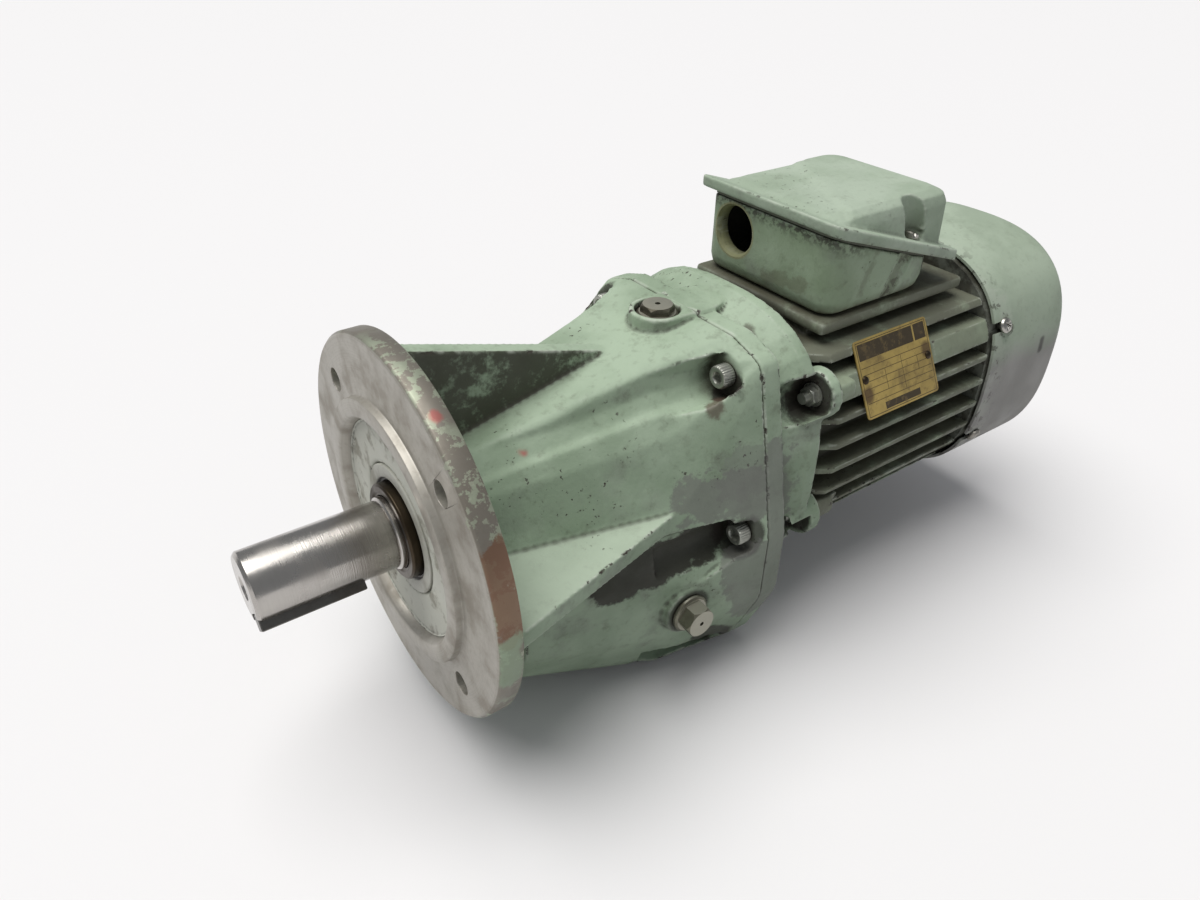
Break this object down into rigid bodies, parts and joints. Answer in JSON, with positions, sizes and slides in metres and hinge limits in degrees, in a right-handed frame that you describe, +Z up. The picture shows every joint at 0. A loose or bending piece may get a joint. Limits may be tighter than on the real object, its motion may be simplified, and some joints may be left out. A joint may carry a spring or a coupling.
{
  "type": "brake gear motor",
  "caption": "In-line helical gear motor with output flange and keyed shaft, finned electric motor, sloping terminal box and a spring brake under the fan cover.",
  "frame": {"origin": "middle of the overall box at the ground, under the shaft axis", "axes": "+X along the shaft from the output end to the fan end, +Z up, -Y towards the rating plate"},
  "size_m": [0.416, 0.16, 0.1995],
  "materials": {
    "case_paint": "worn sage green paint on cast iron",
    "motor_paint": "worn sage green paint on cast aluminium",
    "cover_paint": "worn sage green paint on drawn sheet",
    "bright_steel": "ground",
    "dark_steel": "oiled",
    "zinc": "dull zinc plated",
    "plate_brass": "satin",
    "bronze": "dull",
    "winding": "varnished copper",
    "lamination": "varnished",
    "aluminium": "as cast",
    "rubber": "matt",
    "moulding": "moulded",
    "lining": "pressed friction lining",
    "plastic": "moulded"
  },
  "bodies": {
    "housing": {"gear_housing": "case_paint", "input_cover": "case_paint", "stator_frame": "motor_paint", "fan_cover": "cover_paint", "terminal_box": "motor_paint", "terminal_box_lid": "motor_paint", "lid_gasket": "rubber", "terminal_board": "moulding", "rating_plate": "plate_brass", "plate_rivet_1": "zinc", "plate_rivet_2": "zinc", "vent_plug": "dark_steel", "level_plug": "dark_steel", "drain_plug": "dark_steel", "output_seal": "rubber", "stator_core": "lamination", "winding_head_front": "winding", "winding_head_rear": "winding", "brake_end_shield": "aluminium", "brake_coil_body": "zinc", "lid_screw_near": "zinc", "lid_screw_far": "zinc", "case_screw_1": "zinc", "case_screw_2": "zinc", "case_screw_3": "zinc", "case_screw_4": "zinc", "case_screw_5": "zinc", "case_screw_6": "zinc", "shield_stud_1": "zinc", "cover_screw_1": "zinc", "shield_stud_2": "zinc", "cover_screw_2": "zinc", "shield_stud_3": "zinc", "cover_screw_3": "zinc", "shield_stud_4": "zinc", "cover_screw_4": "zinc", "output_front_bearing_outer_ring": "bright_steel", "output_rear_bearing_outer_ring": "bright_steel", "intermediate_front_bearing_outer_ring": "bright_steel", "intermediate_rear_bearing_outer_ring": "bright_steel", "motor_front_bearing_outer_ring": "bright_steel", "motor_rear_bearing_outer_ring": "bright_steel"},
    "output": {"output_shaft": "bright_steel", "shaft_key": "dark_steel", "output_gear": "dark_steel", "seal_sleeve": "bronze", "output_front_bearing_inner_ring": "bright_steel", "output_rear_bearing_inner_ring": "bright_steel"},
    "intermediate": {"intermediate_shaft": "dark_steel", "intermediate_gear": "dark_steel", "intermediate_front_bearing_inner_ring": "bright_steel", "intermediate_rear_bearing_inner_ring": "bright_steel"},
    "rotor": {"motor_shaft": "bright_steel", "rotor_core": "lamination", "brake_disc": "lining", "fan": "plastic", "motor_front_bearing_inner_ring": "bright_steel", "motor_rear_bearing_inner_ring": "bright_steel"},
    "armature": {"pressure_plate": "zinc"}
  },
  "joints": [
    {"name": "output_spin", "type": "hinge", "parent": "housing", "child": "output", "pos_m": [-0.148, 0, 0.1], "axis": [1, 0, 0], "continuous": true},
    {"name": "intermediate_spin", "type": "hinge", "parent": "housing", "child": "intermediate", "pos_m": [-0.148, 0, 0.049], "axis": [1, 0, 0], "continuous": true},
    {"name": "rotor_spin", "type": "hinge", "parent": "housing", "child": "rotor", "pos_m": [-0.148, 0, 0.1], "axis": [1, 0, 0], "continuous": true},
    {"name": "brake_release", "type": "slide", "parent": "housing", "child": "armature", "axis": [1, 0, 0], "range_m": [0, 0.0005], "stiffness_N_per_m": 20000, "springref_m": -0.002}
  ],
  "couplings": [
    {"joint": "intermediate_spin", "follows": "output_spin", "ratio": -2.9231},
    {"joint": "rotor_spin", "follows": "output_spin", "ratio": 13.641}
  ]
}
